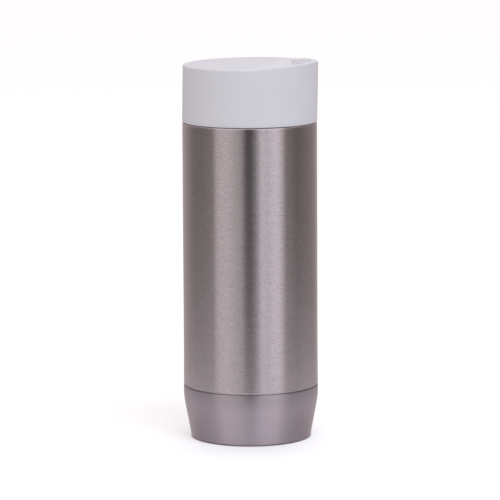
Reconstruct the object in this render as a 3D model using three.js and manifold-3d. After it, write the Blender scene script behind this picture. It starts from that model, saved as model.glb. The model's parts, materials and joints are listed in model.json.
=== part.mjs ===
// Insulated travel mug: a double-wall vacuum flask of steel sheet, a tapered base cup and a tall
// twist-to-open drinking lid that screws onto the neck.
// Millimetres, +Z up. The origin is the centre of the foot pad's underside, and +X points towards
// the drinking slot.

import * as THREE from 'three';
import { mergeVertices } from 'three/addons/utils/BufferGeometryUtils.js';
import Module from 'manifold-3d';

const wasm = await Module();
wasm.setup();

// ---------------------------------------------------------------- driving dimensions

const SEGMENTS = 48; // facets round the large turned parts
const SMALL_SEGMENTS = 20; // facets round screws, pellets and bosses
const GAP = 0.3; // clearance between pieces that touch or nest
const SHEET = 0.6; // steel sheet thickness

const body = {
  radius: 35.25, // brushed sleeve
  flare: 0.2, // extra radius at the sleeve's lower edge
  bottomZ: 28.0, // sleeve's visible lower edge
  shoulderZ: 166.6, // flat shoulder under the lid
  shoulderRound: 0.8,
  hemRound: 0.6, // round at the sleeve's lower edge
};
const neck = { radius: 29.0, topZ: 182.0, lipRadius: 29.6 };
const liner = {
  radius: 31.5,
  bottomZ: 12.0,
  cornerRadius: 6.0,
  jointZ: 22.0, // weld between the wall and its pressed bottom
  taperZ: 154.0, // the wall starts to narrow towards the neck
  taperTopZ: 161.0,
};
const base = {
  topRadius: 35.4,
  kneeRadius: 34.55,
  footRadius: 31.5,
  topZ: body.bottomZ - GAP,
  straightZ: 22.0,
  kneeZ: 17.0,
  rimZ: 0.5,
  floorZ: 2.1,
};
const pad = { radius: 29.4, thickness: 1.8 };
const lid = {
  bottomZ: 166.9,
  bottomRadius: 35.3,
  topRadius: 35.35,
  rake: 0.6, // how far the top of the wall leans out over the drinking side
  wall: 2.0,
  ceilingZ: 194.6,
  rimZ: 197.1, // top rim away from the drinking side
  edgeRound: 0.6,
};
const dish = { depth: 0.2, slopeX: 0.009, slopeY: 0.009 };
const ramp = { turn: -12, start: 10.7, slope: 0.0725 }; // climbs 12 degrees to the side of +X
const sipWell = { outerRadius: 31.3, innerX: 22.2, corner: 3.0, floorZ: 196.2 };
const slot = { centreRadius: 27.2, halfWidth: 2.6, endAngle: 15 };
const port = { centreRadius: 23.6, halfWidth: 3.0, endAngle: 22 };
const chute = { centreRadius: 26.0, halfWidth: 5.4, wall: 1.1, endAngle: 23 };
const collar = {
  outerRadius: 32.8,
  innerRadius: 31.3,
  bottomZ: 167.0,
  deckZ: 183.8, // underside of the deck
  deckTopZ: 186.0,
  rimZ: 188.2,
  rimInnerRadius: 30.3,
};
const thread = { lead: 10.0, starts: 2, neckCrest: 30.0, collarCrest: 30.35, ridge: 2.2 };
const screw = { radius: 1.9, headRadius: 3.8, headZ: 181.9, headTopZ: 183.0, tipZ: 192.8 };
const drive = { side: 7.0, bottomZ: 186.9, bossRadius: 5.2, bossZ: 190.6 };

// ---------------------------------------------------------------- helpers

function closedGeometry(geometry) {
  const bare = geometry.clone();
  bare.deleteAttribute('normal');
  bare.deleteAttribute('uv');
  const merged = mergeVertices(bare, 1e-4);
  const index = merged.index.array;
  const kept = [];
  for (let i = 0; i < index.length; i += 3) {
    const [a, b, c] = [index[i], index[i + 1], index[i + 2]];
    if (a !== b && b !== c && c !== a) kept.push(a, b, c);
  }
  merged.setIndex(kept);
  return merged;
}

function signedVolume(geometry) {
  const position = geometry.attributes.position;
  const index = geometry.index.array;
  const [a, b, c] = [new THREE.Vector3(), new THREE.Vector3(), new THREE.Vector3()];
  let volume = 0;
  for (let i = 0; i < index.length; i += 3) {
    a.fromBufferAttribute(position, index[i]);
    b.fromBufferAttribute(position, index[i + 1]);
    c.fromBufferAttribute(position, index[i + 2]);
    volume += a.dot(b.cross(c)) / 6;
  }
  return volume;
}

function outward(geometry) {
  const closed = closedGeometry(geometry);
  if (signedVolume(closed) < 0) {
    const flipped = Array.from(closed.index.array);
    for (let i = 0; i < flipped.length; i += 3) {
      [flipped[i + 1], flipped[i + 2]] = [flipped[i + 2], flipped[i + 1]];
    }
    closed.setIndex(flipped);
  }
  return closed;
}

function toSolid(geometry) {
  const closed = outward(geometry);
  return new wasm.Manifold(
    new wasm.Mesh({
      numProp: 3,
      vertProperties: new Float32Array(closed.attributes.position.array),
      triVerts: new Uint32Array(closed.index.array),
    }),
  );
}

function toGeometry(solid) {
  const mesh = solid.getMesh();
  const geometry = new THREE.BufferGeometry();
  geometry.setAttribute('position', new THREE.BufferAttribute(new Float32Array(mesh.vertProperties), 3));
  geometry.setIndex(Array.from(mesh.triVerts));
  return geometry;
}

// A turned shape about +Z from [radius, height] points.
function turned(points, segments = SEGMENTS) {
  const profile = points.map(([r, z]) => new THREE.Vector2(r, z));
  return new THREE.LatheGeometry(profile, segments).rotateX(Math.PI / 2);
}

// A turned ring: its profile closes on itself, clear of the axis.
function ring(points, segments = SEGMENTS) {
  return turned([...points, points[0]], segments);
}

// Points of an arc in the profile plane, angles in degrees from the +radius direction.
function arc(centreR, centreZ, radius, fromDeg, toDeg, steps) {
  const points = [];
  for (let i = 0; i <= steps; i += 1) {
    const angle = THREE.MathUtils.degToRad(fromDeg + ((toDeg - fromDeg) * i) / steps);
    points.push([centreR + radius * Math.cos(angle), centreZ + radius * Math.sin(angle)]);
  }
  return points;
}

function cylinder(radius, bottomZ, topZ, segments = SMALL_SEGMENTS) {
  const height = topZ - bottomZ;
  return new THREE.CylinderGeometry(radius, radius, height, segments)
    .rotateX(Math.PI / 2)
    .translate(0, 0, bottomZ + height / 2);
}

function box(side, bottomZ, topZ) {
  const height = topZ - bottomZ;
  return new THREE.BoxGeometry(side, side, height).translate(0, 0, bottomZ + height / 2);
}

// A kidney-shaped outline that follows a circle about the axis, centred on +X.
function kidneyShape({ centreRadius, endAngle }, halfWidth) {
  const end = THREE.MathUtils.degToRad(endAngle);
  const endX = centreRadius * Math.cos(end);
  const endY = centreRadius * Math.sin(end);
  const shape = new THREE.Shape();
  shape.absarc(0, 0, centreRadius + halfWidth, -end, end, false);
  shape.absarc(endX, endY, halfWidth, end, end + Math.PI, false);
  shape.absarc(0, 0, centreRadius - halfWidth, end, -end, true);
  shape.absarc(endX, -endY, halfWidth, -end + Math.PI, -end + 2 * Math.PI, false);
  return shape;
}

// The sip well's outline: a segment of a disc with round corners, its chord facing the axis.
function segmentShape({ outerRadius, innerX, corner }) {
  const cornerX = innerX + corner;
  const reach = outerRadius - corner;
  const cornerY = Math.sqrt(reach * reach - cornerX * cornerX);
  const end = Math.atan2(cornerY, cornerX);
  const shape = new THREE.Shape();
  shape.absarc(0, 0, outerRadius, -end, end, false);
  shape.absarc(cornerX, cornerY, corner, end, Math.PI, false);
  shape.absarc(cornerX, -cornerY, corner, Math.PI, 2 * Math.PI - end, false);
  return shape;
}

function prism(shape, bottomZ, topZ) {
  const options = { depth: topZ - bottomZ, bevelEnabled: false, curveSegments: 8 };
  return new THREE.ExtrudeGeometry(shape, options).translate(0, 0, bottomZ);
}

function kidney(path, halfWidth, bottomZ, topZ) {
  return prism(kidneyShape(path, halfWidth), bottomZ, topZ);
}

// One thread ridge: a straight trapezoidal bar, bent round the axis into a helix.
function threadRidge(rootRadius, crestRadius, startZ, startDeg, sweepDeg) {
  const half = thread.ridge / 2;
  const crestHalf = half / 2;
  const section = new THREE.Shape();
  section.moveTo(rootRadius, -half);
  section.lineTo(crestRadius, -crestHalf);
  section.lineTo(crestRadius, crestHalf);
  section.lineTo(rootRadius, half);
  section.closePath();
  const steps = Math.round(sweepDeg / 12);
  const bar = new THREE.ExtrudeGeometry(section, { depth: 1, steps, bevelEnabled: false });
  const position = bar.attributes.position;
  for (let i = 0; i < position.count; i += 1) {
    const turn = (sweepDeg / 360) * position.getZ(i);
    const angle = turn * 2 * Math.PI + THREE.MathUtils.degToRad(startDeg);
    const radius = position.getX(i);
    const height = startZ + position.getY(i) + thread.lead * turn;
    position.setXYZ(i, radius * Math.cos(angle), radius * Math.sin(angle), height);
  }
  return bar;
}

function addRidges(solid, rootRadius, crestRadius, startZ, startDeg, sweepDeg) {
  let result = solid;
  for (let start = 0; start < thread.starts; start += 1) {
    const turnedBy = startDeg + (360 * start) / thread.starts;
    result = result.add(toSolid(threadRidge(rootRadius, crestRadius, startZ, turnedBy, sweepDeg)));
  }
  return result;
}

function named(name, geometry, material) {
  const mesh = new THREE.Mesh(outward(geometry), material.clone());
  mesh.name = name;
  return mesh;
}

// ---------------------------------------------------------------- materials

function paint(color, roughness, metalness) {
  return new THREE.MeshStandardMaterial({ color, roughness, metalness });
}

const brushedSteel = paint(0xb4aca6, 0.35, 1.0);
const satinSteel = paint(0xa19ba0, 0.45, 1.0);
const polishedSteel = paint(0xc4c4c6, 0.2, 1.0);
const whitePlastic = paint(0xe4e3e8, 0.6, 0.0);
const clearPlastic = paint(0xd2d6d8, 0.4, 0.0);
const greyPlastic = paint(0x6d7074, 0.6, 0.0);
const silicone = paint(0xc9ccd0, 0.8, 0.0);
const rubber = paint(0x2c2d30, 0.85, 0.0);
const foil = paint(0xc8c9cb, 0.25, 1.0);
const sinter = paint(0x4b4c4f, 0.9, 0.4);
const frit = paint(0x5c6a5a, 0.3, 0.0);

// ---------------------------------------------------------------- vacuum flask

// Outer sleeve: rolled shoulder above, swaged in below to nest inside the base cup.
function outerShell() {
  const { radius, flare, bottomZ, shoulderZ, shoulderRound, hemRound } = body;
  const arcR = radius - shoulderRound;
  const arcZ = shoulderZ - shoulderRound;
  const nestR = base.topRadius - SHEET - GAP;
  const kneeR = base.kneeRadius - SHEET - GAP;
  const endR = base.footRadius - GAP;
  const endZ = 5.4;
  const neckHole = neck.radius + GAP;
  return ring([
    [endR, endZ],
    [kneeR, base.kneeZ + GAP],
    [nestR, base.straightZ + GAP],
    [nestR, bottomZ],
    ...arc(radius + flare - hemRound, bottomZ + hemRound, hemRound, 270, 360, 3),
    [radius + flare / 2, bottomZ + 16],
    [radius, bottomZ + 32],
    ...arc(arcR, arcZ, shoulderRound, 0, 90, 3),
    [neckHole, shoulderZ],
    [neckHole, shoulderZ - SHEET],
    ...arc(arcR, arcZ, shoulderRound - SHEET, 90, 0, 1),
    [radius - SHEET, bottomZ + 0.9],
    [nestR - SHEET, bottomZ + GAP],
    [nestR - SHEET, base.straightZ + GAP],
    [kneeR - SHEET, base.kneeZ + GAP],
    [endR - SHEET, endZ],
  ]);
}

// Inner wall of the flask with the rolled lip and the neck's outside thread.
function innerLiner() {
  const { radius, jointZ, taperZ, taperTopZ } = liner;
  const wall = ring([
    [radius, jointZ],
    [radius, taperZ],
    [neck.radius, taperTopZ],
    [neck.radius, neck.topZ - 1.4],
    [neck.lipRadius, neck.topZ - 1.0],
    [neck.lipRadius, neck.topZ - 0.3],
    [neck.lipRadius - 0.4, neck.topZ],
    [neck.radius - SHEET + 0.2, neck.topZ],
    [neck.radius - SHEET, neck.topZ - 0.3],
    [neck.radius - SHEET, taperTopZ],
    [radius - SHEET, taperZ],
    [radius - SHEET, jointZ],
  ]);
  const rootRadius = neck.radius - 0.1;
  return toGeometry(addRidges(toSolid(wall), rootRadius, thread.neckCrest, 171.5, 0, 200));
}

// Pressed bottom of the inner wall, butt-welded under it.
function linerBase() {
  const { radius, bottomZ, cornerRadius, jointZ } = liner;
  const arcR = radius - cornerRadius;
  const arcZ = bottomZ + cornerRadius;
  const topZ = jointZ - GAP;
  return turned([
    [0, bottomZ],
    ...arc(arcR, arcZ, cornerRadius, 270, 360, 4),
    [radius, topZ],
    [radius - SHEET, topZ],
    ...arc(arcR, arcZ, cornerRadius - SHEET, 360, 270, 4),
    [0, bottomZ + SHEET],
  ]);
}

const plateZ = 6.2; // underside of the plate that closes the vacuum
const evacuationHole = 1.3;

function vacuumBasePlate() {
  const radius = 30.4;
  const flangeZ = plateZ + 1.8;
  return ring([
    [evacuationHole, plateZ],
    [radius, plateZ],
    [radius, flangeZ],
    [radius - SHEET, flangeZ],
    [radius - SHEET, plateZ + SHEET],
    [evacuationHole, plateZ + SHEET],
  ]);
}

function sealBead() {
  const headRadius = 2.6;
  const headTopZ = plateZ - GAP;
  const shank = evacuationHole - GAP;
  const tipZ = plateZ + 1.0;
  const head = [[0, headTopZ - 1.0], [headRadius - 0.8, headTopZ - 0.8], [headRadius, headTopZ]];
  return turned([...head, [shank, headTopZ], [shank, tipZ], [0, tipZ]], SMALL_SEGMENTS);
}

// A small open cup, used for the getter's clip and the plug over the screw.
function smallCup(outer, inner, bottomZ, topZ, floor, edge) {
  const outside = [[0, bottomZ], [outer - edge, bottomZ], [outer, bottomZ + edge], [outer, topZ]];
  const inside = [[inner, topZ], [inner, bottomZ + floor], [0, bottomZ + floor]];
  return turned([...outside, ...inside], SMALL_SEGMENTS);
}

const getter = { radius: 4.2, thickness: 1.8, offset: 12.0, clipRadius: 4.9, clipWall: 0.4 };
const clipTopZ = liner.bottomZ - GAP;
const clipBottomZ = clipTopZ - getter.thickness - 2 * GAP - getter.clipWall;

function getterClip() {
  const { clipRadius, clipWall, offset } = getter;
  const inner = clipRadius - clipWall;
  return smallCup(clipRadius, inner, clipBottomZ, clipTopZ, clipWall, 0.2).translate(offset, 0, 0);
}

function getterPellet() {
  const bottomZ = clipBottomZ + getter.clipWall + GAP;
  const pellet = cylinder(getter.radius, bottomZ, bottomZ + getter.thickness);
  return pellet.translate(getter.offset, 0, 0);
}

function radiationFoil() {
  const inner = liner.radius + GAP;
  const outer = inner + 0.3;
  const bottomZ = liner.jointZ + 2;
  const topZ = liner.taperZ - 2;
  return ring([[inner, bottomZ], [outer, bottomZ], [outer, topZ], [inner, topZ]]);
}

// ---------------------------------------------------------------- base

// Tapered base cup with a recess under its floor for the foot pad.
function baseCup() {
  const { topRadius, kneeRadius, footRadius, topZ, straightZ, kneeZ, rimZ, floorZ } = base;
  const recess = pad.radius + GAP;
  const footRound = 0.7;
  return turned([
    [0, floorZ],
    [recess, floorZ],
    [recess, rimZ + 0.4],
    [recess + 0.4, rimZ],
    ...arc(footRadius - footRound, rimZ + footRound, footRound, 270, 350, 3),
    [kneeRadius, kneeZ],
    [topRadius - 0.2, straightZ - 2.2],
    [topRadius, straightZ],
    [topRadius, topZ - 0.25],
    [topRadius - 0.25, topZ],
    [topRadius - SHEET, topZ],
    [topRadius - SHEET, straightZ],
    [kneeRadius - SHEET, kneeZ],
    [footRadius - SHEET + 0.1, floorZ + SHEET],
    [0, floorZ + SHEET],
  ]);
}

// Foam ring that fills the space between the flask and the base cup's floor.
function baseSpacer() {
  const bottomZ = base.floorZ + SHEET + GAP;
  const topZ = bottomZ + 2.1;
  const hole = 12;
  const outer = 30;
  return ring([[hole, bottomZ], [outer, bottomZ], [outer + 0.2, topZ], [hole, topZ]]);
}

function footPad() {
  const { radius, thickness } = pad;
  return turned([[0, 0], [radius - 0.4, 0], [radius, 0.4], [radius, thickness], [0, thickness]]);
}

// ---------------------------------------------------------------- lid

// Height of the lid's top face: a shallow tilted dish, and a ramp that climbs to the drinking side.
function topHeight(x, y) {
  const spread = (x * x + y * y) / (lid.topRadius * lid.topRadius);
  const hollow = lid.rimZ + dish.slopeX * x + dish.slopeY * y - dish.depth * (1 - spread);
  const turn = THREE.MathUtils.degToRad(ramp.turn);
  const along = x * Math.cos(turn) + y * Math.sin(turn);
  const climb = lid.rimZ + ramp.slope * (along - ramp.start);
  return Math.max(hollow, climb);
}

// Shapes the turned blank's top rows to the top face, and leans the outer wall to the drinking side.
function shapeCap(blank) {
  const position = blank.attributes.position;
  const outer = lid.bottomRadius - lid.wall / 2;
  for (let i = 0; i < position.count; i += 1) {
    const x = position.getX(i);
    const y = position.getY(i);
    const z = position.getZ(i);
    const lean = (lid.rake * (z - lid.bottomZ)) / (lid.rimZ - lid.bottomZ);
    const isOuter = Math.hypot(x, y) > outer;
    const isTop = z > lid.ceilingZ + 1;
    if (isTop) position.setZ(i, z - lid.rimZ + topHeight(x, y));
    if (isOuter) position.setX(i, x + lean);
  }
  return blank;
}

function capBlank() {
  const { bottomZ, bottomRadius, topRadius, wall, ceilingZ, rimZ, edgeRound } = lid;
  const inner = bottomRadius - wall;
  const faceRadii = [0, 6, 12, 18, 22.5, 26, 29, 32];
  return turned([
    ...faceRadii.map((r) => [r, rimZ]),
    ...arc(topRadius - edgeRound, rimZ - edgeRound, edgeRound, 90, 0, 3),
    [topRadius - 0.05, (rimZ + bottomZ) / 2],
    [bottomRadius, bottomZ + 0.4],
    [bottomRadius - 0.4, bottomZ],
    [inner, bottomZ],
    [inner, ceilingZ - GAP],
    [inner - GAP, ceilingZ],
    [0, ceilingZ],
  ]);
}

// White outer cap: wall, sloping top with the sip well and its slot, and the boss that drives the valve.
function lidCap() {
  const screwHole = screw.radius + GAP;
  return toGeometry(
    toSolid(shapeCap(capBlank()))
      .add(toSolid(cylinder(drive.bossRadius, drive.bossZ, lid.ceilingZ + 0.4)))
      .add(toSolid(box(drive.side, drive.bottomZ, drive.bossZ + 0.4)))
      .subtract(toSolid(cylinder(screwHole, drive.bottomZ - 1, screw.tipZ + GAP)))
      .subtract(toSolid(prism(segmentShape(sipWell), sipWell.floorZ, lid.rimZ + 8)))
      .subtract(toSolid(kidney(slot, slot.halfWidth, lid.ceilingZ - 4, lid.rimZ))),
  );
}

const discZ = collar.deckTopZ + 0.55; // underside of the valve disc
const discTopZ = discZ + 2.0;

// Valve disc: turns with the cap over the deck's port, and carries the chute up to the slot.
function valveDisc() {
  const floorZ = discTopZ + 1.35;
  const chuteTopZ = lid.ceilingZ - GAP;
  const hubTopZ = drive.bossZ - GAP;
  const socket = drive.side + 2 * GAP;
  return toGeometry(
    toSolid(cylinder(collar.rimInnerRadius - 0.4, discZ, discTopZ, SEGMENTS))
      .add(toSolid(cylinder(7.2, discZ, hubTopZ)))
      .add(toSolid(kidney(chute, chute.halfWidth + chute.wall, discTopZ - 0.05, chuteTopZ)))
      .subtract(toSolid(box(socket, discZ - 1, hubTopZ + 1)))
      .subtract(toSolid(kidney(chute, chute.halfWidth, floorZ, chuteTopZ + 1)))
      .subtract(toSolid(kidney(port, port.halfWidth, discZ - 1, floorZ + 0.5))),
  );
}

const groove = { radius: 31.2, bottomZ: 184.6, topZ: 186.4 }; // holds the O-ring
const well = { inner: 7.0, outer: 8.3, bottomZ: 180.6 }; // round the screw head
const sealWidth = 0.9;
const sealRecessZ = collar.deckTopZ - 1.2;

// Threaded collar: skirt over the neck, deck with the port, O-ring groove and the screw's well.
function lidCollar() {
  const { outerRadius, innerRadius, bottomZ, deckZ, deckTopZ, rimZ, rimInnerRadius } = collar;
  const screwHole = screw.radius + 0.4;
  const turnedPart = ring([
    [outerRadius, bottomZ],
    [outerRadius, groove.bottomZ],
    [groove.radius, groove.bottomZ],
    [groove.radius, groove.topZ],
    [outerRadius, groove.topZ],
    [outerRadius, rimZ],
    [rimInnerRadius, rimZ],
    [rimInnerRadius, deckTopZ],
    [screwHole, deckTopZ],
    [screwHole, deckZ],
    [well.inner, deckZ],
    [well.inner, well.bottomZ],
    [well.outer, well.bottomZ],
    [well.outer, deckZ],
    [innerRadius, deckZ],
    [innerRadius, bottomZ],
  ]);
  const cut = toSolid(turnedPart)
    .subtract(toSolid(kidney(port, port.halfWidth, deckZ - 1, deckTopZ + 1)))
    .subtract(toSolid(kidney(port, port.halfWidth + sealWidth + GAP, sealRecessZ, deckTopZ + 1)));
  return toGeometry(addRidges(cut, innerRadius + 0.1, thread.collarCrest, 169.4, 10, 180));
}

function portSeal() {
  const bottomZ = sealRecessZ + GAP;
  const topZ = collar.deckTopZ + 0.25;
  return toGeometry(
    toSolid(kidney(port, port.halfWidth + sealWidth, bottomZ, topZ)).subtract(
      toSolid(kidney(port, port.halfWidth, bottomZ - 1, topZ + 1)),
    ),
  );
}

function lidGasket() {
  const inner = 27.9;
  const outer = 30.0; // clear of the collar's thread as the lid rises
  const bottomZ = neck.topZ + GAP;
  const topZ = collar.deckZ - GAP;
  return ring([[inner, bottomZ], [outer, bottomZ], [outer, topZ], [inner, topZ]]);
}

function capORing() {
  const sectionRadius = 0.75;
  const centreRadius = 32.2;
  const centreZ = (groove.bottomZ + groove.topZ) / 2;
  return ring(arc(centreRadius, centreZ, sectionRadius, 0, 315, 7));
}

function pivotScrew() {
  const { radius, headRadius, headZ, headTopZ, tipZ } = screw;
  return turned(
    [
      [0, headZ + 0.6],
      [1.2, headZ],
      [headRadius - 0.6, headZ],
      [headRadius, headZ + 0.5],
      [headRadius, headTopZ],
      [radius, headTopZ],
      [radius, tipZ - 1.2],
      [0.6, tipZ],
      [0, tipZ],
    ],
    SMALL_SEGMENTS,
  );
}

function springWasher() {
  const inner = screw.radius + 0.4;
  const outer = screw.headRadius + 0.6;
  const bottomZ = screw.headTopZ + GAP / 2;
  const topZ = collar.deckZ - GAP / 2;
  return ring([[inner, bottomZ], [outer, bottomZ], [outer, topZ], [inner, topZ]], SMALL_SEGMENTS);
}

// Soft plug that keeps liquid out of the screw's well.
function screwPlug() {
  const outer = well.inner - GAP;
  const inner = screw.headRadius + 1.4;
  return smallCup(outer, inner, well.bottomZ + 0.2, collar.deckZ - GAP, 0.8, 0.4);
}

// ---------------------------------------------------------------- assembly

const flask = new THREE.Group();
flask.add(
  named('outer_shell', outerShell(), brushedSteel),
  named('inner_liner', innerLiner(), polishedSteel),
  named('liner_base', linerBase(), polishedSteel),
  named('vacuum_base_plate', vacuumBasePlate(), polishedSteel),
  named('seal_bead', sealBead(), frit),
  named('getter_clip', getterClip(), polishedSteel),
  named('getter_pellet', getterPellet(), sinter),
  named('radiation_foil', radiationFoil(), foil),
);

const foot = new THREE.Group();
foot.add(
  named('base_cup', baseCup(), satinSteel),
  named('base_spacer', baseSpacer(), greyPlastic),
  named('foot_pad', footPad(), rubber),
);

const drinkingLid = new THREE.Group();
drinkingLid.add(
  named('lid_cap', lidCap(), whitePlastic),
  named('valve_disc', valveDisc(), clearPlastic),
  named('lid_collar', lidCollar(), greyPlastic),
  named('port_seal', portSeal(), silicone),
  named('lid_gasket', lidGasket(), silicone),
  named('cap_o_ring', capORing(), silicone),
  named('pivot_screw', pivotScrew(), polishedSteel),
  named('spring_washer', springWasher(), polishedSteel),
  named('screw_plug', screwPlug(), silicone),
);

const mug = new THREE.Group();
mug.add(flask, foot, drinkingLid);

export default mug;
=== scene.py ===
"""Looks of the insulated travel mug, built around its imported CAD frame.

Blender works in metres. The shapes below are given in millimetres, in the CAD frame: +Z up, the origin at
the centre of the foot pad's underside, and +X towards the drinking slot.
"""

import json
import math

import bmesh
import bpy
from mathutils import Matrix, Vector
from mathutils.geometry import delaunay_2d_cdt


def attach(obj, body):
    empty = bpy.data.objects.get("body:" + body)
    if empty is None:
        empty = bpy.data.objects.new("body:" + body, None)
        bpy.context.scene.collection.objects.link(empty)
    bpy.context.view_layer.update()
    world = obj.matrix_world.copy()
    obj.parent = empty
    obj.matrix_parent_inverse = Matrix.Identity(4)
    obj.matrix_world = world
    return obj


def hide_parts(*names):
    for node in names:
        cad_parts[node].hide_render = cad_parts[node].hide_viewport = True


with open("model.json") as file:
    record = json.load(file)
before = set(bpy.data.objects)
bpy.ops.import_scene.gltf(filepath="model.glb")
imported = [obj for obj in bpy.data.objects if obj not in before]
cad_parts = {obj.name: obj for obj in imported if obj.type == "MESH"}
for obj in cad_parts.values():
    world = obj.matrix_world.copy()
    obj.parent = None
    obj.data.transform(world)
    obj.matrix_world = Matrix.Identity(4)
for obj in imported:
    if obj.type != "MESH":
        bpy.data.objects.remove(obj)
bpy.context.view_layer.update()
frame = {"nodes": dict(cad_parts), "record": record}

MM = 0.001
ROUND = 240  # segments round the large turned parts
SMALL_ROUND = 64  # segments round screws and seals
TAU = 2 * math.pi
SHARP_ANGLE = math.radians(32)  # edges sharper than this stay sharp in the shading
FILLET_STEP = math.radians(15)  # the most that one segment of a rounded corner turns
SLIVER = 0.003 * MM  # edges shorter than this are closed up after a cut


# ---------------------------------------------------------------- profiles and solids


def fillet(before, corner, after, radius):
    """Arc points that round one corner of a profile."""
    a = (Vector(before) - Vector(corner)).normalized()
    b = (Vector(after) - Vector(corner)).normalized()
    half = a.angle(b) / 2
    centre = Vector(corner) + (a + b).normalized() * radius / math.sin(half)
    start = Vector(corner) + a * radius / math.tan(half) - centre
    end = Vector(corner) + b * radius / math.tan(half) - centre
    turn = start.angle(end)
    steps = max(2, math.ceil(turn / FILLET_STEP))
    points = []
    for i in range(steps + 1):
        share = i / steps
        spoke = start * math.sin((1 - share) * turn) + end * math.sin(share * turn)
        points.append(tuple(centre + spoke / math.sin(turn)))
    return points


def rounded(points):
    """Profile points (radius, z) or (radius, z, fillet), with the filleted corners rounded."""
    out = []
    for i, point in enumerate(points):
        if len(point) == 2:
            out.append(point)
            continue
        before = points[i - 1][:2]
        after = points[(i + 1) % len(points)][:2]
        out += fillet(before, point[:2], after, point[2])
    return out


def rows_between(radius, low, high, step):
    """Straight profile points from low to high, close enough together to be shaped."""
    count = round(abs(high - low) / step)
    return [(radius, low + (high - low) * i / count) for i in range(count + 1)]


class Solid:
    """Vertices and faces of one closed shape, in millimetres."""

    def __init__(self):
        self.verts = []
        self.faces = []

    def loop(self, points):
        start = len(self.verts)
        self.verts += [tuple(p) for p in points]
        return list(range(start, len(self.verts)))

    def bridge(self, a, b):
        """Faces between two loops; a loop of one vertex is a pole."""
        count = max(len(a), len(b))
        for i in range(count):
            j = (i + 1) % count
            face = [a[i % len(a)], a[j % len(a)], b[j % len(b)], b[i % len(b)]]
            face = list(dict.fromkeys(face))
            if len(face) > 2:
                self.faces.append(face)

    def loft(self, loops, closed=False):
        for a, b in zip(loops, loops[1:]):
            self.bridge(a, b)
        if closed:
            self.bridge(loops[-1], loops[0])

    def fill(self, outer, holes=(), extra=()):
        """Triangles between a convex outer loop and its holes, through the extra vertices."""
        used = [*outer, *(i for hole in holes for i in hole), *extra]
        flat = [Vector(self.verts[i][:2]) for i in used]
        edges = []
        first = 0
        for ring in (outer, *holes):
            count = len(ring)
            edges += [(first + i, first + (i + 1) % count) for i in range(count)]
            first += count
        points, _, triangles, origins, _, _ = delaunay_2d_cdt(flat, edges, [], 0, 1e-5)
        outlines = [[self.verts[i][:2] for i in hole] for hole in holes]
        for triangle in triangles:
            centre = sum((points[i] for i in triangle), Vector((0, 0))) / 3
            if not any(is_inside(centre, outline) for outline in outlines):
                self.faces.append([used[origins[i][0]] for i in triangle])


def is_inside(point, outline):
    """True if a point is inside a closed outline in the plane."""
    inside = False
    for (ax, ay), (bx, by) in zip(outline, outline[1:] + outline[:1]):
        if (ay > point[1]) != (by > point[1]):
            if point[0] < ax + (bx - ax) * (point[1] - ay) / (by - ay):
                inside = not inside
    return inside


def circle(radius, z, count=ROUND):
    return [(radius * math.cos(TAU * i / count), radius * math.sin(TAU * i / count), z) for i in range(count)]


def turned(profile, segments=ROUND, shape=None):
    """A turned solid from (radius, z) points. shape(radius, z, angle) may move each point's radius."""
    solid = Solid()
    loops = []
    for radius, z in profile:
        if radius < 1e-6:
            loops.append(solid.loop([(0, 0, z)]))
            continue
        points = []
        for i in range(segments):
            angle = TAU * i / segments
            r = shape(radius, z, angle) if shape else radius
            points.append((r * math.cos(angle), r * math.sin(angle), z))
        loops.append(solid.loop(points))
    solid.loft(loops, closed=True)
    return solid


def arc(centre, radius, start, end, steps):
    """Points in the plane along an arc, both ends included."""
    points = []
    for i in range(steps + 1):
        angle = start + (end - start) * i / steps
        points.append((centre[0] + radius * math.cos(angle), centre[1] + radius * math.sin(angle)))
    return points


def kidney(path, half_width, z):
    """Kidney outline along a circle about the axis, centred on +X. path: circle radius, end in degrees."""
    radius, end = path[0], math.radians(path[1])
    side_steps, cap_steps = 28, 18
    tip = (radius * math.cos(end), radius * math.sin(end))
    points = arc((0, 0), radius + half_width, -end, end, side_steps)
    points += arc(tip, half_width, end, end + math.pi, cap_steps)[1:-1]
    points += arc((0, 0), radius - half_width, end, -end, side_steps)
    points += arc((tip[0], -tip[1]), half_width, math.pi - end, TAU - end, cap_steps)[1:-1]
    return [(x, y, z) for x, y in points]


def block(bottom, top):
    """A prism between two loops of the same count."""
    solid = Solid()
    low = solid.loop(bottom)
    high = solid.loop(top)
    solid.bridge(low, high)
    solid.faces += [low, high]
    return solid


def kidney_block(path, half_width, low, high):
    return block(kidney(path, half_width, low), kidney(path, half_width, high))


def square_loop(side, corner, z, count):
    """A square with round corners, as count points at even angles from +X."""
    points = []
    flat = side / 2 - corner
    for i in range(count):
        angle = TAU * i / count
        direction = Vector((math.cos(angle), math.sin(angle)))
        reach = side / 2 / max(abs(direction.x), abs(direction.y))
        point = direction * reach
        over = Vector((max(abs(point.x) - flat, 0), max(abs(point.y) - flat, 0)))
        if over.x > 0 and over.y > 0:
            over = over.normalized() * corner
            point = Vector((math.copysign(flat + over.x, point.x), math.copysign(flat + over.y, point.y)))
        points.append((point.x, point.y, z))
    return points


def square_block(side, corner, low, high):
    return block(square_loop(side, corner, low, SMALL_ROUND), square_loop(side, corner, high, SMALL_ROUND))


def to_object(name, solid):
    mesh = bpy.data.meshes.new(name)
    mesh.from_pydata([Vector(v) * MM for v in solid.verts], [], solid.faces)
    edit = bmesh.new()
    edit.from_mesh(mesh)
    bmesh.ops.recalc_face_normals(edit, faces=edit.faces)
    edit.to_mesh(mesh)
    edit.free()
    obj = bpy.data.objects.new(name, mesh)
    bpy.context.scene.collection.objects.link(obj)
    return obj


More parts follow.
